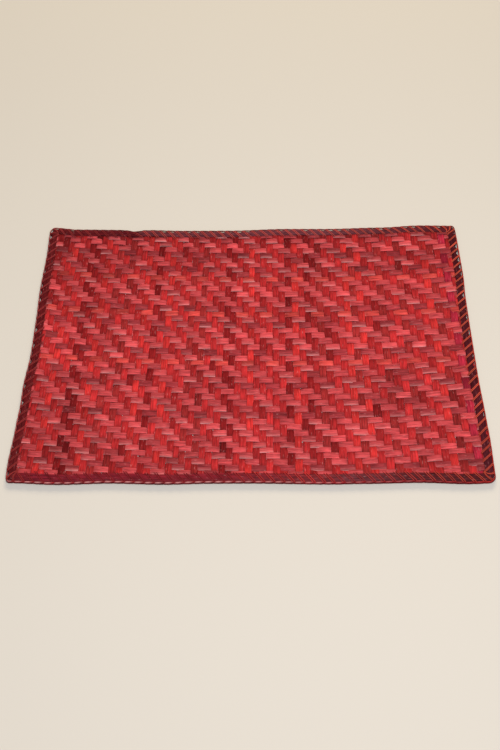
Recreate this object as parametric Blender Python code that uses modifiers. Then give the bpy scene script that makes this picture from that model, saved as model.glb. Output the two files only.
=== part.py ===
"""A plaited pandanus-leaf mat lying flat: a woven panel and the folded leaf strip sewn round its edge.

Metres, +Z up. The mat rests on z = 0, centred on x = y = 0, with its long side along X.
The far side is at +Y. Both pieces are made of loops that follow the mat's outline.
"""

from collections import namedtuple
from math import cos, pi, sin

import bmesh
import bpy
from mathutils import Vector

MM = 0.001

# Driving sizes of the whole mat.
MAT_LENGTH = 450 * MM
MAT_WIDTH = 300 * MM
PANEL_THICKNESS = 1.6 * MM
BINDING_WIDTH = 9.5 * MM
BINDING_LEAF = 0.7 * MM
CLEARANCE = 0.3 * MM

# The fold of the binding is solid this far in from the outline, thread and all.
FOLD_DEPTH = 2.2 * MM
FOLD_ROUNDING = 0.8 * MM

# The panel climbs over the binding's lower leaf, and comes down to the surface this far in.
PANEL_FLAT_INSET = 24 * MM
RAMP_STEPS = 4

# Sizes that follow from those.
BINDING_HEIGHT = 2 * BINDING_LEAF + 2 * CLEARANCE + PANEL_THICKNESS
PANEL_RIM_LIFT = BINDING_LEAF + CLEARANCE
PANEL_RIM_INSET = FOLD_DEPTH + CLEARANCE
LIP_CLEAR_INSET = BINDING_WIDTH + CLEARANCE

# How finely the outline is drawn.
SEGMENTS_LONG_SIDE = 45
SEGMENTS_SHORT_SIDE = 30
SEGMENTS_CORNER = 5
SMALLEST_CORNER_RADIUS = 1.0 * MM
WELD_DISTANCE = 0.001 * MM

# Each side bows in from the straight box by this much, in mm, at these fractions of its length.
# The sides run clockwise seen from above. The far side has a nick where the binding's ends meet.
Bow = namedtuple("Bow", "along inward")

FAR_SIDE = (
    Bow(0.00, 3.1),
    Bow(0.05, 5.8),
    Bow(0.17, 6.3),
    Bow(0.20, 8.7),
    Bow(0.23, 6.5),
    Bow(0.32, 7.6),
    Bow(0.44, 7.4),
    Bow(0.58, 5.0),
    Bow(0.68, 5.0),
    Bow(0.82, 3.0),
    Bow(0.92, 0.0),
    Bow(1.00, 0.4),
)
RIGHT_SIDE = (
    Bow(0.00, 0.8),
    Bow(0.05, 0.3),
    Bow(0.22, 0.0),
    Bow(0.32, 1.5),
    Bow(0.45, 1.9),
    Bow(0.64, 2.1),
    Bow(0.80, 1.0),
    Bow(0.88, 0.5),
    Bow(1.00, 1.2),
)
NEAR_SIDE = (
    Bow(0.00, 1.5),
    Bow(0.04, 0.7),
    Bow(0.14, 2.1),
    Bow(0.26, 1.0),
    Bow(0.33, 0.4),
    Bow(0.50, 1.4),
    Bow(0.58, 1.2),
    Bow(0.68, 0.2),
    Bow(0.79, 1.4),
    Bow(0.90, 0.0),
    Bow(1.00, 1.8),
)
LEFT_SIDE = (
    Bow(0.00, 0.6),
    Bow(0.04, 0.0),
    Bow(0.18, 1.9),
    Bow(0.27, 3.0),
    Bow(0.32, 2.5),
    Bow(0.46, 5.0),
    Bow(0.60, 4.7),
    Bow(0.73, 3.7),
    Bow(0.90, 5.0),
    Bow(1.00, 4.3),
)

# One row a corner: its place, in half lengths and half widths, its radius in mm,
# and the side that leaves it, with the number of its segments and the direction in which it runs.
Corner = namedtuple("Corner", "name x_sign y_sign radius side segments run")

CORNERS = (
    Corner("far_left", -1, 1, 6.5, FAR_SIDE, SEGMENTS_LONG_SIDE, Vector((1, 0))),
    Corner("far_right", 1, 1, 3.5, RIGHT_SIDE, SEGMENTS_SHORT_SIDE, Vector((0, -1))),
    Corner("near_right", 1, -1, 7.0, NEAR_SIDE, SEGMENTS_LONG_SIDE, Vector((-1, 0))),
    Corner("near_left", -1, -1, 3.5, LEFT_SIDE, SEGMENTS_SHORT_SIDE, Vector((0, 1))),
)

# A point of the binding's section: how far in from the outline, and how high.
Station = namedtuple("Station", "inset z")


def smooth_step(t):
    return t * t * (3 - 2 * t)


def bow_at(side, along):
    """How far in the side lies at this fraction of its length, in metres."""
    for before, after in zip(side, side[1:]):
        if along <= after.along:
            t = (along - before.along) / (after.along - before.along)
            return (before.inward + (after.inward - before.inward) * smooth_step(t)) * MM
    return side[-1].inward * MM


def inward_of(corner):
    """The unit direction from the side that leaves this corner towards the mat's middle."""
    return Vector((corner.run.y, -corner.run.x))


def outline(inset):
    """The mat's outline, drawn this far in from its edge, as points in the XY plane."""
    points = []
    for index, corner in enumerate(CORNERS):
        previous = CORNERS[index - 1]
        following = CORNERS[(index + 1) % len(CORNERS)]
        inward_before = inward_of(previous)
        inward_after = inward_of(corner)
        radius = max(corner.radius * MM - inset, SMALLEST_CORNER_RADIUS)
        next_radius = max(following.radius * MM - inset, SMALLEST_CORNER_RADIUS)
        tip = Vector((corner.x_sign * MAT_LENGTH / 2, corner.y_sign * MAT_WIDTH / 2))
        tip += inward_before * (bow_at(previous.side, 1) + inset)
        tip += inward_after * (bow_at(corner.side, 0) + inset)
        centre = tip + (inward_before + inward_after) * radius
        for step in range(SEGMENTS_CORNER + 1):
            angle = pi / 2 * step / SEGMENTS_CORNER
            points.append(centre - radius * (inward_before * cos(angle) + inward_after * sin(angle)))
        next_tip = Vector((following.x_sign * MAT_LENGTH / 2, following.y_sign * MAT_WIDTH / 2))
        next_tip += inward_of(following) * (bow_at(following.side, 0) + inset)
        start = points[-1].dot(corner.run)
        end = next_tip.dot(corner.run) - next_radius
        edge = tip.dot(inward_after) - bow_at(corner.side, 0)
        for step in range(1, corner.segments):
            along = step / corner.segments
            run = corner.run * (start + (end - start) * along)
            points.append(run + inward_after * (edge + bow_at(corner.side, along)))
    return points


def place_loop(verts, inset, z):
    for vert, point in zip(verts, outline(inset)):
        vert.co = (point.x, point.y, z)


def first_loop(mesh, inset, z):
    """One closed loop of edges round the mat, at this inset and height. It returns the loop's vertices."""
    verts = [mesh.verts.new() for point in outline(inset)]
    for a, b in zip(verts, verts[1:] + verts[:1]):
        mesh.edges.new((a, b))
    place_loop(verts, inset, z)
    return verts


def next_loop(mesh, verts, inset, z):
    """Extrudes the loop to another inset and height, and returns the new loop's vertices in order."""
    edges = [mesh.edges.get((a, b)) for a, b in zip(verts, verts[1:] + verts[:1])]
    fresh = set(bmesh.ops.extrude_edge_only(mesh, edges=edges)["geom"])
    new_verts = []
    for vert in verts:
        neighbours = [edge.other_vert(vert) for edge in vert.link_edges]
        new_verts += [neighbour for neighbour in neighbours if neighbour in fresh]
    place_loop(new_verts, inset, z)
    return new_verts


def leaf_material(name, colour, roughness):
    material = bpy.data.materials.new(name)
    material.use_nodes = True
    shader = material.node_tree.nodes["Principled BSDF"]
    shader.inputs["Base Color"].default_value = (*colour, 1)
    shader.inputs["Roughness"].default_value = roughness
    shader.inputs["Metallic"].default_value = 0
    return material


def add_object(name, mesh, material, collection):
    data = bpy.data.meshes.new(name)
    mesh.to_mesh(data)
    mesh.free()
    data.materials.append(material)
    part = bpy.data.objects.new(name, data)
    collection.objects.link(part)
    return part


def make_woven_panel(collection):
    """The plaited sheet: flat on the surface, with a rim that climbs over the binding's lower leaf."""
    mesh = bmesh.new()
    verts = first_loop(mesh, PANEL_RIM_INSET, PANEL_RIM_LIFT)
    for step in range(RAMP_STEPS + 1):
        t = step / RAMP_STEPS
        inset = LIP_CLEAR_INSET + (PANEL_FLAT_INSET - LIP_CLEAR_INSET) * t
        verts = next_loop(mesh, verts, inset, PANEL_RIM_LIFT * (1 - smooth_step(t)))
    bmesh.ops.contextual_create(mesh, geom=verts)
    bmesh.ops.recalc_face_normals(mesh, faces=mesh.faces)
    if sum(face.normal.z for face in mesh.faces) < 0:
        bmesh.ops.reverse_faces(mesh, faces=mesh.faces)
    material = leaf_material("dyed_red_pandanus_leaf", (0.42, 0.022, 0.024), 0.5)
    panel = add_object("woven_panel", mesh, material, collection)
    sheet = panel.modifiers.new("sheet thickness", "SOLIDIFY")
    sheet.thickness = PANEL_THICKNESS
    sheet.offset = 1


def make_edge_binding(collection):
    """The leaf strip folded over the panel's edge: a C-shaped section carried round the outline."""
    top = BINDING_HEIGHT
    shoulder = FOLD_ROUNDING / 4
    drop = FOLD_ROUNDING / 2
    section = (
        Station(BINDING_WIDTH, top),
        Station(FOLD_ROUNDING, top),
        Station(shoulder, top - drop),
        Station(0, top / 2),
        Station(shoulder, drop),
        Station(FOLD_ROUNDING, 0),
        Station(BINDING_WIDTH, 0),
        Station(BINDING_WIDTH, BINDING_LEAF),
        Station(FOLD_DEPTH, BINDING_LEAF),
        Station(FOLD_DEPTH, top - BINDING_LEAF),
        Station(BINDING_WIDTH, top - BINDING_LEAF),
    )
    mesh = bmesh.new()
    verts = first_loop(mesh, *section[0])
    for station in section[1:] + section[:1]:
        verts = next_loop(mesh, verts, *station)
    bmesh.ops.remove_doubles(mesh, verts=mesh.verts, dist=WELD_DISTANCE)
    bmesh.ops.recalc_face_normals(mesh, faces=mesh.faces)
    material = leaf_material("dark_maroon_folded_leaf", (0.085, 0.016, 0.022), 0.5)
    add_object("edge_binding", mesh, material, collection)


def main():
    for old in list(bpy.data.objects):
        bpy.data.objects.remove(old, do_unlink=True)
    collection = bpy.data.collections.new("pandanus_mat")
    bpy.context.scene.collection.children.link(collection)
    make_woven_panel(collection)
    make_edge_binding(collection)


main()
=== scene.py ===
# %% [markdown]
# # A plaited pandanus mat
# The real mat is plaited by hand from strips of dyed pandanus leaf, trimmed to an oblong, and edged
# with a darker leaf strip that is folded over the cut ends and oversewn with thread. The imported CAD
# model is the fixed frame: a sheet and a folded rim. Here each is replaced by what it stands for.

import random
from collections import namedtuple
from math import atan2, cos, pi, radians, sin

import bmesh
import bpy
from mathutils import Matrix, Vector, noise


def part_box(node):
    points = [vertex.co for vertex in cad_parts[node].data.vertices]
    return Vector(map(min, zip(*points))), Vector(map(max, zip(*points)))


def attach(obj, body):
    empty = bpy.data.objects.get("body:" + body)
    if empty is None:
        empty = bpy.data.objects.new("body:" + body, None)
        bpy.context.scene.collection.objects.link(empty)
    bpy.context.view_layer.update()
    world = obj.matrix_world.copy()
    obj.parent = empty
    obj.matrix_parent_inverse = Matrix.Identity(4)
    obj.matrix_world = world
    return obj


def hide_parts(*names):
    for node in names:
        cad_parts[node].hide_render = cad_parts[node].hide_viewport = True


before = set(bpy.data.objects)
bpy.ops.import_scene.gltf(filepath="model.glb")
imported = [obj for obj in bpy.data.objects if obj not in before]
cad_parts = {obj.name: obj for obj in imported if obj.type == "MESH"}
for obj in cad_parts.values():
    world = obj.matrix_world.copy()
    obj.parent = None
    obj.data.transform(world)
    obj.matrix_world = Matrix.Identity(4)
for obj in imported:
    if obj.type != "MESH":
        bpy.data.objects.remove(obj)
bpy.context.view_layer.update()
MM = 0.001
chance = random.Random(2026)

# %% [markdown]
# ## Camera
# The mat lies on a table and is seen by someone standing at its near side, who looks steeply down.
# The lens is a moderate wide angle, so the far side is plainly shorter than the near side.

# %% Camera
CAMERA_PLACE = (-1.1 * MM, -374.7 * MM, 633.1 * MM)
CAMERA_PITCH = radians(61.86)
LENS_LENGTH = 35.04

camera = bpy.data.objects.new("camera", bpy.data.cameras.new("camera"))
camera.data.sensor_width = 36
camera.data.lens = LENS_LENGTH
camera.data.clip_start = 10 * MM
camera.location = CAMERA_PLACE
camera.rotation_euler = (pi / 2 - CAMERA_PITCH, 0, 0)
bpy.context.collection.objects.link(camera)
bpy.context.scene.camera = camera

# %% [markdown]
# ## Colours and nodes
# Colours are written as the hex values that a colour picker shows. A shader wants linear light, so
# one function turns them. Another adds a node with its settings and its links in one call.

# %% Helpers for colours and nodes


def to_linear(hex_colour):
    """Linear red, green and blue of an sRGB hex value such as #A02B2B."""
    shares = [int(hex_colour[start : start + 2], 16) / 255 for start in (1, 3, 5)]
    return Vector([c / 12.92 if c <= 0.04045 else ((c + 0.055) / 1.055) ** 2.4 for c in shares])


def add_node(tree, kind, inputs=None, **settings):
    """Adds a node. Inputs are values, or other nodes' outputs that are linked in."""
    node = tree.nodes.new(kind)
    for name, value in settings.items():
        setattr(node, name, value)
    for name, value in (inputs or {}).items():
        if isinstance(value, bpy.types.NodeSocket):
            tree.links.new(value, node.inputs[name])
        else:
            node.inputs[name].default_value = value
    return node


# The colour sockets of a Mix node, which share their names with its other kinds.
MIX_A, MIX_B, MIX_RESULT = 6, 7, 2

# %% [markdown]
# ## Floor
# A plain pale floor, warm as a linen cloth under tungsten light. It is only a stage.

# %% Floor
FLOOR_REACH = 2.1
FLOOR_COLOUR = "#DCD6CC"

floor_mesh = bmesh.new()
bmesh.ops.create_grid(floor_mesh, x_segments=1, y_segments=1, size=FLOOR_REACH)
floor_data = bpy.data.meshes.new("floor")
floor_mesh.to_mesh(floor_data)
floor_mesh.free()
floor = bpy.data.objects.new("floor", floor_data)
bpy.context.collection.objects.link(floor)
floor_material = bpy.data.materials.new("plain_matt_floor")
floor_material.use_nodes = True
floor_shader = floor_material.node_tree.nodes["Principled BSDF"]
floor_shader.inputs["Base Color"].default_value = (*to_linear(FLOOR_COLOUR), 1)
floor_shader.inputs["Roughness"].default_value = 0.9
floor_shader.inputs["Specular IOR Level"].default_value = 0.2
floor_data.materials.append(floor_material)

# %% [markdown]
# ## Light
# A large soft panel hangs over the mat, a little to the near side, and gives the strips their
# sheen. A lower one behind the far right corner draws the thin shadow along the near edge and
# the dark lines where a strip dives under its neighbour. Seen from near the floor, a lamp so low
# would glare off the strips, so it is kept out of reflections. The world fills the rest.

# %% Lights
Lamp = namedtuple("Lamp", "name place aim width height power colour reflected")
LAMPS = (
    Lamp("overhead_panel", (0.15, -0.45, 1.15), (0, -0.08, 0), 0.9, 0.9, 10.6, "#FAFBFF", True),
    Lamp("far_side_panel", (0.25, 3.1, 1.15), (0, 0, 0), 1.9, 0.7, 102, "#FFEDCB", False),
)

for lamp in LAMPS:
    light = bpy.data.lights.new(lamp.name, "AREA")
    light.shape = "RECTANGLE"
    light.size = lamp.width
    light.size_y = lamp.height
    light.energy = lamp.power
    light.color = to_linear(lamp.colour)
    holder = bpy.data.objects.new(lamp.name, light)
    holder.location = lamp.place
    direction = Vector(lamp.aim) - Vector(lamp.place)
    holder.rotation_euler = direction.to_track_quat("-Z", "Y").to_euler()
    holder.visible_glossy = lamp.reflected
    bpy.context.collection.objects.link(holder)

world = bpy.data.worlds.new("soft_room")
world.use_nodes = True
world.node_tree.nodes["Background"].inputs["Color"].default_value = (*to_linear("#FBF9FA"), 1)
world.node_tree.nodes["Background"].inputs["Strength"].default_value = 0.3
bpy.context.scene.world = world
bpy.context.scene.view_settings.view_transform = "Standard"

# %% [markdown]
# ## The mat's outline
# A hand-trimmed mat isn't a true oblong, and the CAD rim already follows its uneven sides. Two
# loops of that rim are read back: its outermost points and the inner lip of its upper leaf. Any
# place near the edge is then a distance along the outline and a distance in from it.

# %% Read the outline from the CAD rim
SAME_HEIGHT = 0.1 * MM
NEAREST_LIP = 5 * MM

rim_low, rim_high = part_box("edge_binding")
RIM_HEIGHT = rim_high.z
FAR_LEFT_ANGLE = atan2(rim_high.y, rim_low.x)


def rim_points(height):
    """The CAD rim's points at this height, each once."""
    found = {}
    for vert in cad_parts["edge_binding"].data.vertices:
        if abs(vert.co.z - height) < SAME_HEIGHT:
            found[(round(vert.co.x, 5), round(vert.co.y, 5))] = Vector(vert.co[:2])
    return list(found.values())


def clockwise(points):
    """Sorted clockwise as seen from above, from the far left corner."""
    return sorted(points, key=lambda p: (FAR_LEFT_ANGLE - atan2(p.y, p.x)) % (2 * pi))


def nearest_on(loop, point):
    """The place on a closed loop that is nearest to the point."""
    best = None
    for a, b in zip(loop, loop[1:] + loop[:1]):
        side = b - a
        share = max(0, min(1, (point - a).dot(side) / side.length_squared))
        place = a + side * share
        if best is None or (place - point).length < (best - point).length:
            best = place
    return best


outer_loop = clockwise(rim_points(RIM_HEIGHT / 2))
inner_loop = clockwise(
    point
    for point in rim_points(RIM_HEIGHT)
    if (nearest_on(outer_loop, point) - point).length > NEAREST_LIP
)
print("outline:", len(outer_loop), "points outside,", len(inner_loop), "along the lip")

# %% [markdown]
# The outline is then walked in equal steps. Each step is paired with the nearest place on the
# lip, straight across the band along a side and fanned round a corner, as the folded leaf lies.

# %% Walk along the edge
OUTLINE_STEP = 1 * MM


def walk(loop, step):
    """Points at equal steps along a closed loop, with its length."""
    corners = loop + loop[:1]
    length = sum((b - a).length for a, b in zip(corners, corners[1:]))
    count = round(length / step)
    points = []
    passed = 0.0
    for a, b in zip(corners, corners[1:]):
        span = (b - a).length
        while len(points) < count and len(points) * length / count < passed + span:
            points.append(a.lerp(b, (len(points) * length / count - passed) / span))
        passed += span
    return points, length


edge_steps, OUTLINE_LENGTH = walk(outer_loop, OUTLINE_STEP)
lip_steps = [nearest_on(inner_loop, point) for point in edge_steps]
lip_insets = sorted((lip - edge).length for lip, edge in zip(lip_steps, edge_steps))
LIP_INSET = lip_insets[len(lip_insets) // 2]
print("outline length:", round(OUTLINE_LENGTH, 3), "m; lip inset:", round(LIP_INSET / MM, 2), "mm")


def edge_point(run, inset):
    """The place this far along the outline, clockwise, and this far in from it."""
    count = len(edge_steps)
    step = (run / OUTLINE_LENGTH * count) % count
    k = int(step) % count
    following = (k + 1) % count
    outer = edge_steps[k].lerp(edge_steps[following], step - int(step))
    inner = lip_steps[k].lerp(lip_steps[following], step - int(step))
    return outer + (inner - outer) * (inset / LIP_INSET)


# %% [markdown]
# The strips need the other question answered: how far a place is from each side. The outline is
# tabulated once, millimetre by millimetre, along both axes.

# %% Distances from the four sides
TABLE_REACH = 240


def side_table(axis):
    """For each millimetre of one axis, where the outline lies lowest and highest on the other."""
    table = []
    for step in range(-TABLE_REACH, TABLE_REACH + 1):
        value = step * MM
        hits = []
        for a, b in zip(outer_loop, outer_loop[1:] + outer_loop[:1]):
            if (a[axis] - value) * (b[axis] - value) <= 0 and a[axis] != b[axis]:
                t = (value - a[axis]) / (b[axis] - a[axis])
                hits.append(a[1 - axis] + (b[1 - axis] - a[1 - axis]) * t)
        table.append((min(hits), max(hits)) if hits else (1.0, -1.0))
    return table


near_and_far = side_table(0)
left_and_right = side_table(1)


def look_up(table, value):
    """The lowest and highest place in a side table at this value, in metres."""
    place = value / MM + TABLE_REACH
    k = max(0, min(int(place), len(table) - 2))
    t = place - k
    return [a + (b - a) * t for a, b in zip(table[k], table[k + 1])]


def insets_at(x, y):
    """Distances in from the left and right sides, then from the near and far sides."""
    left, right = look_up(left_and_right, y)
    near, far = look_up(near_and_far, x)
    return min(x - left, right - x), min(y - near, far - y)


print("middle insets, mm:", [round(inset / MM) for inset in insets_at(0, 0)])

# %% [markdown]
# ## The plait's layout
# The plait is a twill, over two and under two. Upright strips run from the far side to the near
# side, and cross strips from left to right. They are cut by hand and lie 5.8 to 7.6 mm apart,
# widest at the right, and they wander: the upright ones fan a little, the cross ones sag in the
# middle, and each drifts a little to either side on its way.

# %% Where the strips run
Pitch = namedtuple("Pitch", "at_mm step_mm")
UPRIGHT_PITCHES = (
    Pitch(-225, 6.25),
    Pitch(-175, 6.3),
    Pitch(-133, 6.5),
    Pitch(-91, 6.2),
    Pitch(-50, 6.0),
    Pitch(-8, 6.3),
    Pitch(34, 6.7),
    Pitch(76, 6.9),
    Pitch(118, 7.15),
    Pitch(160, 7.4),
    Pitch(225, 7.6),
)
CROSS_PITCHES = (
    Pitch(-150, 5.8),
    Pitch(-110, 5.9),
    Pitch(-70, 6.2),
    Pitch(0, 6.3),
    Pitch(100, 6.45),
    Pitch(150, 6.5),
)
WIDTH_WANDER = 0.05


def between(rows, at_mm):
    """The step of a pitch table at this place, in mm."""
    for before, after in zip(rows, rows[1:]):
        if at_mm <= after.at_mm:
            t = max(0, (at_mm - before.at_mm) / (after.at_mm - before.at_mm))
            return before.step_mm + (after.step_mm - before.step_mm) * t
    return rows[-1].step_mm


def strip_places(rows, first_mm, last_mm):
    """Middles of neighbouring strips, in mm, from the first to past the last."""
    direction = 1 if last_mm > first_mm else -1
    places = [first_mm]
    while (last_mm - places[-1]) * direction > 0:
        step = between(rows, places[-1]) * (1 + chance.gauss(0, WIDTH_WANDER))
        places.append(places[-1] + direction * step)
    return places


# Both sets start and end outside the mat, in mm. A strip that misses the mat isn't laid.
upright_places = strip_places(UPRIGHT_PITCHES, -243, 243)
cross_places = strip_places(CROSS_PITCHES, 166, -170)
print(len(upright_places), "upright strips and", len(cross_places), "cross strips laid out")


def along_places(places, number):
    """The place of a strip, or of a point part of the way to the next one."""
    k = max(0, min(int(number // 1), len(places) - 2))
    return places[k] + (places[k + 1] - places[k]) * (number - k)


# %% [markdown]
# Strips aren't quite straight or square to one another. So the place where two strips meet is
# found in a few rounds: each round leans one strip by the other's last place.

# %% Where two strips meet
CROSSING_ROUNDS = 3
UPRIGHT_LEAN = 0.0134
UPRIGHT_FAN = -0.00013
CROSS_LEAN = -0.0073
CROSS_SAG = 0.00017
DRIFT_MM = 0.8
DRIFT_PER_STRIP = 3.7
DRIFT_PER_CROSSING = 0.45
FIRST_CROSS_NUMBER = 100


def drift(number, along):
    """How far a strip has drifted sideways, in mm: smooth along it, and different for each strip."""
    return DRIFT_MM * noise.noise(Vector((number * DRIFT_PER_STRIP, along * DRIFT_PER_CROSSING, 0.5)))


def crossing(upright, cross):
    """Where two strips meet, in metres. Parts of a number lie between two strips."""
    line_x = along_places(upright_places, upright) + drift(upright, cross)
    line_y = along_places(cross_places, cross) + drift(FIRST_CROSS_NUMBER + cross, upright)
    x, y = line_x, line_y
    for _ in range(CROSSING_ROUNDS):
        x = line_x + UPRIGHT_LEAN * y + UPRIGHT_FAN * line_x * y
        y = line_y + CROSS_LEAN * x + CROSS_SAG * x * x
    return Vector((x * MM, y * MM))


# %% [markdown]
# ## How high a strip lies
# Where a strip floats over two others it lies a little above the plait's middle plane, and it
# dives below it under the next two. The plane itself climbs at the rim, where the plait lies on
# the lower half of the folded edging.

# %% Heights in the plait
LEAF_THICKNESS = 0.34 * MM
MIDDLE_PLANE = 0.74 * MM
RIM_CLIMB = 1.0 * MM
CLIMB_STARTS = 24 * MM
CLIMB_ENDS = 9.8 * MM
FLOAT_LIFT = 0.36 * MM
BULGE_MIDDLE = 0.05 * MM
BULGE_INSIDE = 0.09 * MM
LOWEST = 0.02 * MM
SHARE_AT_TURN = 0.8


def smooth_step(t):
    """Eases from 0 to 1, flat at both ends."""
    t = max(0.0, min(1.0, t))
    return t * t * (3 - 2 * t)


def middle_plane(inset):
    """The height of the plait's middle plane, this far in from the outline."""
    climbed = (CLIMB_STARTS - inset) / (CLIMB_STARTS - CLIMB_ENDS)
    return MIDDLE_PLANE + RIM_CLIMB * smooth_step(climbed)


def float_heights(over, over_before, over_after):
    """Heights a third before, at and a third past a crossing, above the middle plane."""
    side = 1 if over else -1
    inside = FLOAT_LIFT + (BULGE_INSIDE if over else 0)
    middle = FLOAT_LIFT + (BULGE_MIDDLE if over else 0)
    before = inside if over_before == over else FLOAT_LIFT * SHARE_AT_TURN
    after = inside if over_after == over else FLOAT_LIFT * SHARE_AT_TURN
    return side * before, side * middle, side * after


# %% [markdown]
# ## Dyes
# The leaves were dyed in small bundles, so strips differ from one another along their whole
# length: most are crimson, a few are a clear scarlet, some came out maroon or grey-brown. The
# cross strips are given a pinker, lighter dye: a painted sheen, for leaf that lies across the
# light and shines more.

# %% Dyes of the strips
CRIMSON = to_linear("#B0292B")
SCARLET = to_linear("#C42F2E")
MAROON = to_linear("#861B1D")
BROWN = to_linear("#962828")
MAGENTA = to_linear("#B0283C")
# The cross strips' common dye, lighter and pinker than crimson as a painted sheen.
ROSE_WITH_PAINTED_SHEEN = to_linear("#BC4448")
CORAL = to_linear("#C2423E")
MULBERRY = to_linear("#983338")
# Pale pink, for worn flecks and for painted highlights.
PALE_WEAR_AND_HIGHLIGHT = to_linear("#E8A8A6")

# The strips whose colour stands out, by the place of their middle.
Dyed = namedtuple("Dyed", "at_mm dye")
UPRIGHT_DYES = (
    Dyed(-195, SCARLET),
    Dyed(-174, MAROON),
    Dyed(-167, MAROON),
    Dyed(-157, SCARLET),
    Dyed(-146, BROWN),
    Dyed(-129, BROWN),
    Dyed(-112, SCARLET),
    Dyed(-98, MAROON),
    Dyed(-83, SCARLET),
    Dyed(-60, BROWN),
    Dyed(-48, BROWN),
    Dyed(-27, MAROON),
    Dyed(-20, MAROON),
    Dyed(0, SCARLET),
    Dyed(36, MAROON),
    Dyed(43, SCARLET),
    Dyed(60, MAROON),
    Dyed(73, BROWN),
    Dyed(97, SCARLET),
    Dyed(107, BROWN),
    Dyed(116, SCARLET),
    Dyed(133, BROWN),
    Dyed(160, BROWN),
    Dyed(184, SCARLET),
    Dyed(192, BROWN),
    Dyed(207, MAGENTA),
)
CROSS_DYES = (
    Dyed(110, MULBERRY),
    Dyed(90, MULBERRY),
    Dyed(79, CORAL),
    Dyed(40, MULBERRY),
    Dyed(33, CORAL),
    Dyed(20, MULBERRY),
    Dyed(-12, MULBERRY),
    Dyed(-26, CORAL),
    Dyed(-47, MULBERRY),
    Dyed(-82, MULBERRY),
    Dyed(-134, MULBERRY),
)
STRIP_WANDER = 0.1
FLOAT_WANDER = 0.12


def strip_dyes(places, common, special):
    """A dye for each strip: the common one, a little lighter or darker, or a special one."""
    dyes = [common * (1 + chance.gauss(0, STRIP_WANDER)) for place in places]
    for row in special:
        nearest = min(range(len(places)), key=lambda k: abs(places[k] - row.at_mm))
        dyes[nearest] = row.dye.copy()
    return dyes


upright_dyes = strip_dyes(upright_places, CRIMSON, UPRIGHT_DYES)
cross_dyes = strip_dyes(cross_places, ROSE_WITH_PAINTED_SHEEN, CROSS_DYES)
print("dyes:", len(UPRIGHT_DYES), "upright and", len(CROSS_DYES), "cross strips stand out")

# %% [markdown]
# Light falls off away from the middle of the mat, so painted shade darkens the dye towards the
# far side and the corners. A few round patches say where, each blended into the rest.

# %% Painted shade away from the middle
# The middle of each patch, how far it reaches, and by what share painted shade darkens the dye there.
ShadePatch = namedtuple("ShadePatch", "x_mm y_mm reach_mm share")
PAINTED_SHADE_PATCHES = (
    ShadePatch(-215, 140, 150, 0.28),
    ShadePatch(-70, 150, 120, 0.24),
    ShadePatch(80, 150, 120, 0.24),
    ShadePatch(215, 150, 120, 0.2),
    ShadePatch(-215, -145, 130, 0.24),
    ShadePatch(-60, -150, 90, 0.1),
    ShadePatch(215, -145, 110, 0.12),
)
PAINTED_MIDDLE_LIGHT = 1.05


def painted_light_falloff(place):
    """The painted light at a place: most in the middle, with painted shade towards the shaded patches.
    """
    light = PAINTED_MIDDLE_LIGHT
    for shade_patch in PAINTED_SHADE_PATCHES:
        apart = (place - Vector((shade_patch.x_mm * MM, shade_patch.y_mm * MM))).length
        light *= 1 - shade_patch.share * (1 - smooth_step(apart / (shade_patch.reach_mm * MM)))
    return light


# %% [markdown]
# ## The strips
# Each strip is a ribbon: a grid with three rows of points for each strip that it crosses, moved
# row by row to its place, and given its thickness by a Solidify modifier. The ribbon is arched
# across its width, because the leaf curls as it dries, and smooth shading rolls its edges. Two
# attributes go with the points: the dye, with painted shade and painted highlights worked into
# it, and the place on the leaf in mm, for the grain.

# %% Helpers for leaf strips
THIRDS = (-1 / 3, 0, 1 / 3)
ACROSS = (-1, -0.78, 0, 0.78, 1)
STRIP_GAP = 0.08 * MM
STRIPS_START_INSET = 6 * MM
ARCH = 0.1 * MM
ROLL = 0.035
LIFT_WANDER = 0.05 * MM
HALF_WIDTH_WANDER = 0.04
SHORTEST_RUN = 8
EDGE_PAINTED_HIGHLIGHT = 0.9
PAINTED_HIGHLIGHT_RARITY = 3
GRAIN_APART = 7

Station = namedtuple("Station", "centre aside half_width roll arch dye paling")


def new_leaf_mesh():
    """An empty bmesh with the two attributes that the leaf material reads."""
    mesh = bmesh.new()
    mesh.verts.layers.float_color.new("dye")
    mesh.verts.layers.float_vector.new("leaf_place")
    return mesh


def lay_ribbon(mesh, stations, number, lane_looks):
    """Adds one ribbon along its stations. The leaf's place is in mm: along, across, and which strip."""
    dye_layer = mesh.verts.layers.float_color["dye"]
    place_layer = mesh.verts.layers.float_vector["leaf_place"]
    spans = len(stations) - 1
    lanes = len(ACROSS) - 1
    runs = [0.0]
    for before, after in zip(stations, stations[1:]):
        runs.append(runs[-1] + (after.centre - before.centre).length)
    grid = bmesh.ops.create_grid(mesh, x_segments=spans, y_segments=lanes, size=1)
    for vert in grid["verts"]:
        step = round((vert.co.x + 1) / 2 * spans)
        lane = round((vert.co.y + 1) / 2 * lanes)
        station = stations[step]
        across = ACROSS[lane]
        vert.co = station.centre + station.aside * (across * station.half_width)
        vert.co.z += station.roll * across * station.half_width - station.arch * across * across
        vert.co.z = max(vert.co.z, LOWEST + LEAF_THICKNESS / 2)
        lane_look = lane_looks[lane]
        # Painted shade for the lane, then a blend towards pale as a painted highlight.
        dye = (station.dye * lane_look.shade).lerp(PALE_WEAR_AND_HIGHLIGHT, station.paling * lane_look.paling)
        vert[dye_layer] = (*dye, 1)
        leaf_across = across * station.half_width / MM
        vert[place_layer] = (runs[step] / MM, leaf_across, number * GRAIN_APART)


def split_runs(stations):
    """Breaks a list at its gaps, and leaves out stretches too short to hold in the edging."""
    runs = [[]]
    for station in stations:
        if station is None:
            runs.append([])
        else:
            runs[-1].append(station)
    return [run for run in runs if len(run) >= SHORTEST_RUN]


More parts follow.
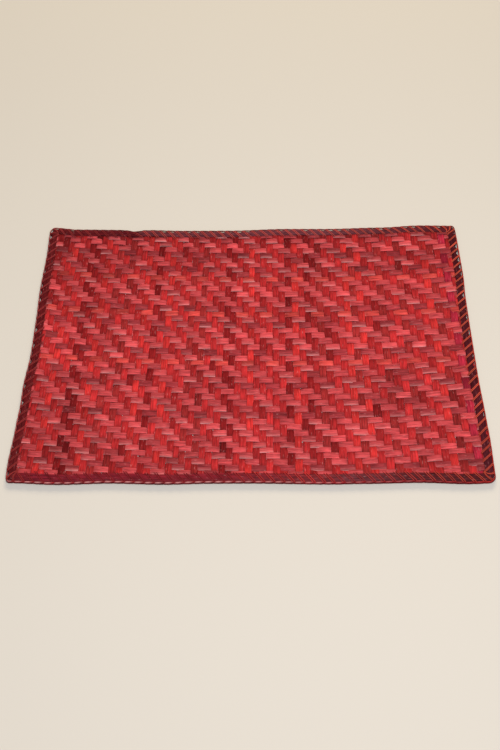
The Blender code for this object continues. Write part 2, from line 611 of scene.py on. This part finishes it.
def add_piece(name, mesh, material):
    """Turns a bmesh into a smoothly shaded object at the origin, with one material."""
    data = bpy.data.meshes.new(name)
    mesh.to_mesh(data)
    mesh.free()
    data.materials.append(material)
    data.polygons.foreach_set("use_smooth", [True] * len(data.polygons))
    piece = bpy.data.objects.new(name, data)
    bpy.context.collection.objects.link(piece)
    return piece


# %% [markdown]
# ## The leaf's finish
# Dried pandanus leaf is a matt, slightly waxy fibre: parallel veins run along it, less than half
# a millimetre apart. They are drawn about 1.5 mm apart, which is as fine as a view of the whole
# mat can show. The dye takes unevenly along the veins, and the surface is worn pale in flecks.

# %% Dyed leaf material
VEIN_MM = 1.5
VEIN_LENGTH_MM = 16
FLECK_MM = 1.3
FLECK_LENGTH_MM = 4.5


def leaf_material(name, roughness, streaks, sheen):
    """Leaf or thread: its dye, streaked along its veins, worn pale in flecks, and ridged."""
    material = bpy.data.materials.new(name)
    material.use_nodes = True
    tree = material.node_tree
    shader = tree.nodes["Principled BSDF"]
    dye = add_node(tree, "ShaderNodeAttribute", attribute_name="dye")
    place = add_node(tree, "ShaderNodeAttribute", attribute_name="leaf_place")
    stretched = add_node(
        tree,
        "ShaderNodeMapping",
        {"Vector": place.outputs["Vector"], "Scale": (1 / VEIN_LENGTH_MM, 1 / VEIN_MM, 1)},
    )
    veins = add_node(
        tree,
        "ShaderNodeTexNoise",
        {"Vector": stretched.outputs["Vector"], "Scale": 1.0, "Detail": 3.0, "Roughness": 0.7},
    )
    vein_shade = add_node(
        tree,
        "ShaderNodeMapRange",
        {
            "Value": veins.outputs["Fac"],
            "From Min": 0.32,
            "From Max": 0.68,
            "To Min": 1 - streaks,
            "To Max": 1 + streaks,
        },
    )
    streaked = add_node(
        tree,
        "ShaderNodeMix",
        {0: 1.0, MIX_A: dye.outputs["Color"], MIX_B: vein_shade.outputs["Result"]},
        data_type="RGBA",
        blend_type="MULTIPLY",
    )
    short = add_node(
        tree,
        "ShaderNodeMapping",
        {"Vector": place.outputs["Vector"], "Scale": (1 / FLECK_LENGTH_MM, 1 / FLECK_MM, 1)},
    )
    scuffs = add_node(
        tree,
        "ShaderNodeTexNoise",
        {"Vector": short.outputs["Vector"], "Scale": 1.0, "Detail": 2.0},
    )
    scuffed = add_node(
        tree,
        "ShaderNodeMapRange",
        {"Value": scuffs.outputs["Fac"], "From Min": 0.62, "From Max": 0.8, "To Max": 0.35},
    )
    paled = add_node(
        tree,
        "ShaderNodeMix",
        {0: scuffed.outputs["Result"], MIX_A: streaked.outputs[MIX_RESULT], MIX_B: (*PALE_WEAR_AND_HIGHLIGHT, 1)},
        data_type="RGBA",
    )
    tree.links.new(paled.outputs[MIX_RESULT], shader.inputs["Base Color"])
    ridges = add_node(
        tree,
        "ShaderNodeBump",
        {"Height": veins.outputs["Fac"], "Strength": 0.5, "Distance": 0.15 * MM},
    )
    tree.links.new(ridges.outputs["Normal"], shader.inputs["Normal"])
    shader.inputs["Roughness"].default_value = roughness
    shader.inputs["IOR"].default_value = 1.45
    shader.inputs["Specular IOR Level"].default_value = 0.07
    shader.inputs["Sheen Weight"].default_value = sheen
    shader.inputs["Sheen Roughness"].default_value = 0.5
    return material


upright_leaf = leaf_material("pandanus_leaf_dyed_crimson", 0.48, 0.42, 0.0)
cross_leaf = leaf_material("pandanus_leaf_rose_painted_sheen", 0.42, 0.45, 0.0)

# %% [markdown]
# ## The twill
# An upright strip floats over a cross strip when the count of strips between them, taken in
# fours, says so, and each cross strip nearer shifts that by one. This is what makes the twill's
# steps. Each float of a strip also has its own small differences, as hand-plaited leaf has.

# %% Helpers for the twill
TWILL = 4
FLOATS_IN_STRIP = 64


def cross_is_over(upright, cross):
    return (upright - cross) % TWILL < TWILL // 2


def float_number(count):
    """Two crossings make one float, so a strip's roll and shade change every second crossing."""
    return (count // 2) % FLOATS_IN_STRIP


def place_on_float(count, third):
    """Which of a float's six rows of points this is, from its first."""
    return count % 2 * 3 + round(third * 3) + 1


def wander(width):
    """A value for each float of a strip, never more than twice the usual."""
    values = [chance.gauss(0, width) for _ in range(FLOATS_IN_STRIP)]
    return [max(-2 * width, min(2 * width, value)) for value in values]


DARK_SHARE = 0.08
DARK_SHADE = 0.66


def float_shades():
    """A shade for each float of a strip. Now and then one is much darker than the rest."""
    return [
        (1 + extra) * (DARK_SHADE if chance.random() < DARK_SHARE else 1)
        for extra in wander(FLOAT_WANDER)
    ]


# %% [markdown]
# ## Upright strips
# An upright strip is kept where it lies inside the outline, and its ends stop in the fold. Painted
# shade darkens it where it comes out from under a cross strip, as a painted shadow, and along its
# left edge, with a little painted light on its right half.

# %% Lay the upright strips
# Painted shade and light across a strip, from its left edge to its right edge.
LaneLook = namedtuple("LaneLook", "shade paling")
UPRIGHT_LANE_PAINTED_SHADE = (
    LaneLook(0.75, 0),
    LaneLook(0.92, 0),
    LaneLook(1.0, 0),
    LaneLook(1.06, 0),
    LaneLook(1.0, 0),
)
# Painted shade along a float, from its far end to its near end: darkest where it comes out from under a
# cross strip.
UPRIGHT_FLOAT_PAINTED_SHADE = (0.7, 0.88, 1.0, 1.03, 1.04, 0.92)

uprights = new_leaf_mesh()
for upright in range(1, len(upright_places) - 1):
    gap = along_places(upright_places, upright + 1) - along_places(upright_places, upright - 1)
    widths = [gap / 4 * MM * (1 + extra) - STRIP_GAP / 2 for extra in wander(HALF_WIDTH_WANDER)]
    rolls, lifts, shades = wander(ROLL), wander(LIFT_WANDER), float_shades()
    stations = []
    for cross in range(1, len(cross_places) - 1):
        over, over_before, over_after = [not cross_is_over(upright, cross + k) for k in (0, -1, 1)]
        heights = float_heights(over, over_before, over_after)
        count = cross - upright - 1
        number = float_number(count)
        for third, height in zip(THIRDS, heights):
            place = crossing(upright, cross + third)
            inset = min(insets_at(*place))
            if inset < STRIPS_START_INSET:
                stations.append(None)
                continue
            z = middle_plane(inset) + height + lifts[number]
            # The strip's dye and its float's random tone, times painted shade away from the mat's
            # middle and along the float.
            dye = upright_dyes[upright] * shades[number] * painted_light_falloff(place)
            dye = dye * UPRIGHT_FLOAT_PAINTED_SHADE[place_on_float(count, third)]
            centre = Vector((*place, z))
            aside = Vector((1, 0, 0))
            arch = ARCH if over else 0
            station = Station(centre, aside, widths[number], rolls[number], arch, dye, 0)
            stations.append(station)
    for run in split_runs(stations):
        lay_ribbon(uprights, run, upright, UPRIGHT_LANE_PAINTED_SHADE)

print("upright strips:", len(uprights.faces), "faces")
upright_strips = add_piece("upright_strips", uprights, upright_leaf)

# %% [markdown]
# ## Cross strips
# The cross strips are the last to be woven in. They lie a touch proud. A painted highlight lies
# along their near edges, stronger on some floats than on others, and painted shade along their far
# edges.

# %% Lay the cross strips
# Painted highlight and shade from a cross strip's near edge to its far edge.
CROSS_LANE_PAINTED_LIGHT = (
    LaneLook(1.1, 1),
    LaneLook(1.15, 0.3),
    LaneLook(1.03, 0.03),
    LaneLook(0.92, 0),
    LaneLook(0.8, 0),
)
# Painted shade and light from a float's left end to its right end: darker at the left, lit at the
# right.
CROSS_FLOAT_PAINTED_LIGHT = (0.84, 0.94, 0.98, 1.02, 1.07, 0.98)

crosses = new_leaf_mesh()
for cross in range(1, len(cross_places) - 1):
    gap = along_places(cross_places, cross - 1) - along_places(cross_places, cross + 1)
    widths = [gap / 4 * MM * (1 + extra) - STRIP_GAP / 2 for extra in wander(HALF_WIDTH_WANDER)]
    rolls, lifts, shades = wander(ROLL), wander(LIFT_WANDER), float_shades()
    # How strong the painted highlight along each float's near edge is.
    painted_highlights = [chance.random() ** PAINTED_HIGHLIGHT_RARITY * EDGE_PAINTED_HIGHLIGHT for _ in range(FLOATS_IN_STRIP)]
    stations = []
    for upright in range(1, len(upright_places) - 1):
        over, over_before, over_after = [cross_is_over(upright + k, cross) for k in (0, -1, 1)]
        heights = float_heights(over, over_before, over_after)
        count = upright - cross
        number = float_number(count)
        for third, height in zip(THIRDS, heights):
            place = crossing(upright + third, cross)
            inset = min(insets_at(*place))
            if inset < STRIPS_START_INSET:
                stations.append(None)
                continue
            z = middle_plane(inset) + height + lifts[number]
            # The strip's dye and its float's random tone, times painted shade away from the mat's
            # middle and painted light along the float.
            dye = cross_dyes[cross] * shades[number] * painted_light_falloff(place)
            dye = dye * CROSS_FLOAT_PAINTED_LIGHT[place_on_float(count, third)]
            centre = Vector((*place, z))
            aside = Vector((0, 1, 0))
            arch = ARCH if over else 0
            station = Station(
                centre, aside, widths[number], rolls[number], arch, dye, painted_highlights[number]
            )
            stations.append(station)
    for run in split_runs(stations):
        lay_ribbon(crosses, run, FIRST_CROSS_NUMBER + cross, CROSS_LANE_PAINTED_LIGHT)

print("cross strips:", len(crosses.faces), "faces")
cross_strips = add_piece("cross_strips", crosses, cross_leaf)

for strips in (upright_strips, cross_strips):
    thickness = strips.modifiers.new("leaf thickness", "SOLIDIFY")
    thickness.thickness = LEAF_THICKNESS
    thickness.offset = 0

# %% [markdown]
# ## How the edging changes along the mat
# The edging was sewn by hand in several lengths of leaf and thread. Its leaf is dark along the
# right and redder at the near side, its thread is bright in some places and dull in others, and
# the cord outside it carries a painted highlight along the near side. One table says how it looks
# at a few places along the outline, and the rest lies between them.

# %% Table of the edging's looks
# How the edging looks along the outline, from the far left corner: the cord's radius, how far
# it stands off the fold at the widest gaps, how far apart the two threads of a stitch lie, the
# dyes of the leaf, of the stitches and of the cord, and how strong the painted highlight on the cord
# is.
EdgeLook = namedtuple("EdgeLook", "share cord_mm gap_mm pair_mm band thread cord wear")


def edge_look_row(share, cord_mm, gap_mm, pair_mm, band, thread, cord, wear):
    """One row of the table, with its dyes made linear."""
    dyes = [to_linear(dye) for dye in (band, thread, cord)]
    return EdgeLook(share, cord_mm, gap_mm, pair_mm, *dyes, wear)


EDGE_LOOKS = (
    edge_look_row(0.000, 0.60, 2.6, 1.3, "#5C1518", "#A83A3A", "#8C1C1C", 0.30),
    edge_look_row(0.030, 0.65, 0.8, 1.8, "#5C141A", "#8C2A2A", "#6C1418", 0.10),
    edge_look_row(0.060, 0.65, 1.8, 1.8, "#54131A", "#8C2A2A", "#641418", 0.10),
    edge_look_row(0.066, 0.60, 2.0, 2.2, "#622A32", "#D6524A", "#701418", 0.10),
    edge_look_row(0.200, 0.60, 3.4, 1.8, "#6A343C", "#D85A52", "#76151A", 0.15),
    edge_look_row(0.300, 0.60, 2.4, 1.4, "#50181E", "#D4523E", "#8C1A1A", 0.05),
    edge_look_row(0.312, 0.60, 3.6, 1.3, "#46131A", "#D65842", "#B82A22", 0.00),
    edge_look_row(0.360, 0.60, 2.8, 1.3, "#48141B", "#D65842", "#B82A22", 0.00),
    edge_look_row(0.490, 0.70, 2.6, 1.4, "#4E171F", "#D2503C", "#AC261E", 0.00),
    edge_look_row(0.510, 0.80, 0.0, 2.3, "#4C1A1E", "#CC4A36", "#94161C", 0.05),
    edge_look_row(0.550, 0.85, 0.0, 2.5, "#561F23", "#BC3C36", "#921820", 0.15),
    edge_look_row(0.590, 0.85, 0.0, 2.5, "#6E3238", "#9C2C2C", "#921820", 0.30),
    edge_look_row(0.600, 0.90, 0.0, 2.3, "#70262A", "#C43430", "#981C22", 0.45),
    edge_look_row(0.645, 0.90, 0.0, 2.3, "#74222A", "#BC302C", "#961A22", 0.50),
    edge_look_row(0.665, 0.90, 0.0, 2.3, "#7A1E28", "#8E2226", "#961A22", 0.65),
    edge_look_row(0.780, 0.90, 0.0, 1.8, "#741C28", "#8C2024", "#961A22", 0.65),
    edge_look_row(0.800, 0.75, 1.4, 1.4, "#5C1518", "#9C3230", "#8C181A", 0.30),
    edge_look_row(1.000, 0.60, 2.6, 1.3, "#5C1518", "#A03636", "#8C1C1C", 0.30),
)


def edge_look(run):
    """The edging's look at this place, between the two nearest rows."""
    share = run / OUTLINE_LENGTH % 1
    for before, after in zip(EDGE_LOOKS, EDGE_LOOKS[1:]):
        if share <= after.share:
            t = (share - before.share) / (after.share - before.share)
            return EdgeLook(*[a + (b - a) * t for a, b in zip(before, after)])
    return EDGE_LOOKS[-1]


print("edging looks:", len(EDGE_LOOKS), "rows")

# %% [markdown]
# ## The folded edging
# One long leaf strip, dyed a dark maroon, is folded lengthways over the plait's cut ends. The
# stitches pull it down on a slant, so it stands up in soft pads between them. It is one grid,
# wrapped once round the outline, whose columns lean with the stitches. Between two stitches the
# fold may stand a little back from the cord, and the table shows through the gap.

# %% Lay the edge band
STITCH_PITCH = 9.15 * MM
STITCHES = round(OUTLINE_LENGTH / STITCH_PITCH)
COLUMNS_PER_STITCH = 4
UPPER_SLANT = 0.92
LOWER_SLANT = -0.3
FOLD_INSET = 1.9 * MM
FOLD_REACH = 3 * MM
CORD_SET_BACK = 0.45 * MM
FOLD_OVERLAP_MM = 0.1
PAD_HEIGHT = 0.22 * MM
BAND_THICKNESS = 0.35 * MM
BAND_GRAIN_NUMBER = 5
GRAIN_PER_RISE = 0.8
MERGE_DISTANCE = 0.005 * MM

# The band's section: how far in, how high, and how much the pads show there.
Fold = namedtuple("Fold", "inset_mm z_mm slant pads")
BAND_SECTION = (
    Fold(9.3, 2.52, UPPER_SLANT, 0.2),
    Fold(8.6, 2.72, UPPER_SLANT, 0.7),
    Fold(7.2, 2.88, UPPER_SLANT, 1),
    Fold(5.4, 2.92, UPPER_SLANT, 1),
    Fold(3.6, 2.84, UPPER_SLANT, 1),
    Fold(2.6, 2.6, UPPER_SLANT, 0.5),
    Fold(2.1, 2.2, UPPER_SLANT, 0),
    Fold(1.9, 1.7, 0, 0),
    Fold(2.1, 1.2, LOWER_SLANT, 0),
    Fold(2.8, 0.75, LOWER_SLANT, 0),
    Fold(5.5, 0.62, LOWER_SLANT, 0),
    Fold(9.3, 0.66, LOWER_SLANT, 0),
)


def stitch_run(number):
    """How far along the outline a stitch is, in metres."""
    return number * OUTLINE_LENGTH / STITCHES


GAP_RARITY = 1.4
gap_shares = [chance.random() ** GAP_RARITY for _ in range(STITCHES)]


def edging_inset(run, inset_mm):
    """Moves a place near the fold in or out with the fold, which lies against the cord at the
    stitches and may stand off between them."""
    number = run / OUTLINE_LENGTH * STITCHES
    look = edge_look(run)
    gap_mm = look.gap_mm * gap_shares[int(number) % STITCHES] * sin(pi * (number % 1)) ** 2
    fold_mm = 2 * look.cord_mm + CORD_SET_BACK / MM - FOLD_OVERLAP_MM + gap_mm
    near_fold = max(0, 1 - abs(inset_mm * MM - FOLD_INSET) / FOLD_REACH)
    return inset_mm * MM + (fold_mm * MM - FOLD_INSET) * near_fold


band_mesh = new_leaf_mesh()
dye_layer = band_mesh.verts.layers.float_color["dye"]
place_layer = band_mesh.verts.layers.float_vector["leaf_place"]
columns = STITCHES * COLUMNS_PER_STITCH
folds = len(BAND_SECTION) - 1
bmesh.ops.create_grid(band_mesh, x_segments=columns, y_segments=folds, size=1)
for vert in band_mesh.verts:
    column = round((vert.co.x + 1) / 2 * columns)
    fold = BAND_SECTION[round((vert.co.y + 1) / 2 * folds)]
    run = stitch_run(column / COLUMNS_PER_STITCH)
    inset = edging_inset(run, fold.inset_mm)
    place = edge_point(run + fold.slant * (inset - FOLD_INSET), inset)
    phase = 2 * pi * column / COLUMNS_PER_STITCH
    pad = -PAD_HEIGHT * fold.pads * cos(phase)
    vert.co = (*place, fold.z_mm * MM + pad)
    vert[dye_layer] = (*edge_look(run).band, 1)
    leaf_across = fold.inset_mm + GRAIN_PER_RISE * fold.z_mm
    vert[place_layer] = (run / MM, leaf_across, BAND_GRAIN_NUMBER)
bmesh.ops.remove_doubles(band_mesh, verts=band_mesh.verts, dist=MERGE_DISTANCE)
bmesh.ops.recalc_face_normals(band_mesh, faces=band_mesh.faces)
print("edge band:", len(band_mesh.faces), "faces,", STITCHES, "stitches")

band_leaf = leaf_material("pandanus_leaf_dyed_dark_maroon", 0.5, 0.5, 0.0)
edge_band = add_piece("edge_band", band_mesh, band_leaf)
band_thickness = edge_band.modifiers.new("leaf thickness", "SOLIDIFY")
band_thickness.thickness = BAND_THICKNESS
band_thickness.offset = 0

# %% [markdown]
# ## Thread
# The edging is sewn with spun thread. A thread could be a curve with a round bevel, but a curve
# can't carry a dye for each point. So it is a grid rolled round its path, with its seam merged
# and its ends filled. Its sides are painted darker than its top, as painted shade.

# %% Helper for threads
THREAD_SIDES = 6
THREAD_STEP_MM = 1.5
THREAD_TURN_MM = 0.5
THREAD_GRAIN_NUMBER = 3
THREAD_END_SHARE = 0.6


def lay_thread(mesh, path, radius, reference, top_dyes, painted_side_colour):
    """Adds one closed tube along the path. Its top has a dye for each step of the path, which
    darkens to a painted shade colour at its sides. The reference is a direction that the path never
    takes."""
    layer = mesh.verts.layers.float_color["dye"]
    place_layer = mesh.verts.layers.float_vector["leaf_place"]
    spans = len(path) - 1
    grid = bmesh.ops.create_grid(mesh, x_segments=spans, y_segments=THREAD_SIDES, size=1)
    verts = grid["verts"]
    for vert in verts:
        step = round((vert.co.x + 1) / 2 * spans)
        turn = round((vert.co.y + 1) / 2 * THREAD_SIDES) % THREAD_SIDES
        ahead = path[min(step + 1, spans)] - path[max(step - 1, 0)]
        side = ahead.cross(reference).normalized()
        up = side.cross(ahead).normalized()
        angle = 2 * pi * turn / THREAD_SIDES
        narrow = THREAD_END_SHARE if step in (0, spans) else 1
        outward = side * cos(angle) + up * sin(angle)
        vert.co = path[step] + outward * radius * narrow
        # Painted shade: the colour darkens from the top towards the sides and underside.
        vert[layer] = (*painted_side_colour.lerp(top_dyes[step], max(0, outward.z)), 1)
        leaf_place = (step * THREAD_STEP_MM, turn * THREAD_TURN_MM, THREAD_GRAIN_NUMBER)
        vert[place_layer] = leaf_place
    bmesh.ops.remove_doubles(mesh, verts=verts, dist=MERGE_DISTANCE)
    open_edges = [edge for vert in verts if vert.is_valid for edge in vert.link_edges]
    open_edges = [edge for edge in set(open_edges) if edge.is_boundary]
    bmesh.ops.holes_fill(mesh, edges=open_edges, sides=THREAD_SIDES)


# %% [markdown]
# ## The stitches
# A doubled red-orange thread is sewn over and over the edging. Each stitch comes up through the
# plait just inside the band, crosses it on a slant, goes round the edge and back below. No two
# stitches are pulled alike, so each is moved, shaded and lengthened a little at random.

# %% Lay the stitches
THREAD_RADIUS = 0.36 * MM
PAINTED_SIDE_SHADE = 0.42
STITCH_WANDER = 0.3 * MM
TONE_WANDER = 0.12
LEG_INSET_MM = 10
LEG_REACH = 1.3 * MM
OUTER_INSET_MM = 1.5

# A stitch's path: how far in, how high, and how far it leans per mm from the fold.
Bend = namedtuple("Bend", "inset_mm z_mm slant")
STITCH_PATH = (
    Bend(10.5, 1.7, UPPER_SLANT),
    Bend(10.2, 2.45, UPPER_SLANT),
    Bend(9.2, 2.95, UPPER_SLANT),
    Bend(7.2, 3.1, UPPER_SLANT),
    Bend(4.6, 3.12, UPPER_SLANT),
    Bend(2.6, 2.98, UPPER_SLANT),
    Bend(1.4, 2.3, UPPER_SLANT),
    Bend(1.2, 1.6, 0),
    Bend(2.2, 0.65, LOWER_SLANT),
    Bend(5.0, 0.43, LOWER_SLANT),
    Bend(9.2, 0.45, LOWER_SLANT),
    Bend(10.2, 1.2, LOWER_SLANT),
)

stitching = new_leaf_mesh()
for number in range(STITCHES):
    middle_run = stitch_run(number) + chance.gauss(0, STITCH_WANDER)
    tone = 1 + chance.gauss(0, TONE_WANDER)
    reach = chance.random() ** 2 * LEG_REACH
    for side in (-0.5, 0.5):
        run = middle_run + side * edge_look(middle_run).pair_mm * MM
        path = []
        for bend in STITCH_PATH:
            inset = bend.inset_mm * MM
            if bend.inset_mm > OUTER_INSET_MM:
                inset = edging_inset(run, bend.inset_mm)
            if bend.inset_mm > LEG_INSET_MM:
                inset += reach
            place = edge_point(run + bend.slant * (inset - FOLD_INSET), inset)
            path.append(Vector((*place, bend.z_mm * MM)))
        ahead = edge_point(run + 1 * MM, 0) - edge_point(run - 1 * MM, 0)
        dye = edge_look(run).thread * tone
        top_dyes = [dye] * len(path)
        lay_thread(
            stitching, path, THREAD_RADIUS, Vector((*ahead, 0)), top_dyes, dye * PAINTED_SIDE_SHADE
        )

print("stitches:", len(stitching.faces), "faces")

# %% [markdown]
# ## The cord
# Along the outside the thread is caught in a loop at each stitch, which makes a cord of two
# threads, one above the other, the lower one darkened with painted shade. Each segment runs
# from one stitch to the next, with its ends tucked under its neighbours, and a painted highlight
# lies on its top halfway along.

# %% Lay the cord along the outside
CORD_OVERLAP = 1.3 * MM
CORD_SPANS = 6
CORD_PAINTED_HIGHLIGHT = (0, 0.1, 0.6, 1, 0.8, 0.2, 0)
CORD_BOW = 0.3 * MM

# The cord's two threads: their radii, as shares of the look's, how far back from the outline they
# are set, their heights at a segment's start and end, and how much painted shade and painted highlight
# they get.
CordThread = namedtuple("CordThread", "share set_back start_mm end_mm shade wear")
CORD_THREADS = (
    CordThread(1.0, CORD_SET_BACK, 2.4, 1.6, 1.0, 1.0),
    CordThread(0.7, 0, 0.75, 0.7, 0.55, 0),
)

for number in range(STITCHES):
    start = stitch_run(number) - CORD_OVERLAP
    end = stitch_run(number + 1) + CORD_OVERLAP
    tone = 1 + chance.gauss(0, TONE_WANDER)
    look = edge_look(start)
    for thread in CORD_THREADS:
        radius = look.cord_mm * thread.share * MM
        path = []
        for step in range(CORD_SPANS + 1):
            along = step / CORD_SPANS
            inset = radius + thread.set_back + CORD_BOW * (1 - sin(pi * along))
            z = (thread.start_mm + (thread.end_mm - thread.start_mm) * along) * MM
            path.append(Vector((*edge_point(start + (end - start) * along, inset), z)))
        # Painted shade for the lower thread, and a painted highlight blended onto the upper one's top.
        dye = look.cord * tone * thread.shade
        top_dyes = [dye.lerp(PALE_WEAR_AND_HIGHLIGHT, look.wear * thread.wear * paled) for paled in CORD_PAINTED_HIGHLIGHT]
        lay_thread(stitching, path, radius, Vector((0, 0, 1)), top_dyes, dye * PAINTED_SIDE_SHADE)

bmesh.ops.recalc_face_normals(stitching, faces=stitching.faces)
print("stitches and cord:", len(stitching.faces), "faces")
thread_material = leaf_material("spun_thread_dyed_red_orange", 0.6, 0.25, 0.05)
stitching_thread = add_piece("stitching_thread", stitching, thread_material)

# %% [markdown]
# ## What each piece stands for
# Both sets of strips are one sheet of plaiting, cut a little smaller than the edging's outline.

for piece in (upright_strips, cross_strips):
    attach(piece, "root")
    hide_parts("woven_panel")
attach(edge_band, "root")
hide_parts("edge_binding")
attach(stitching_thread, "root")
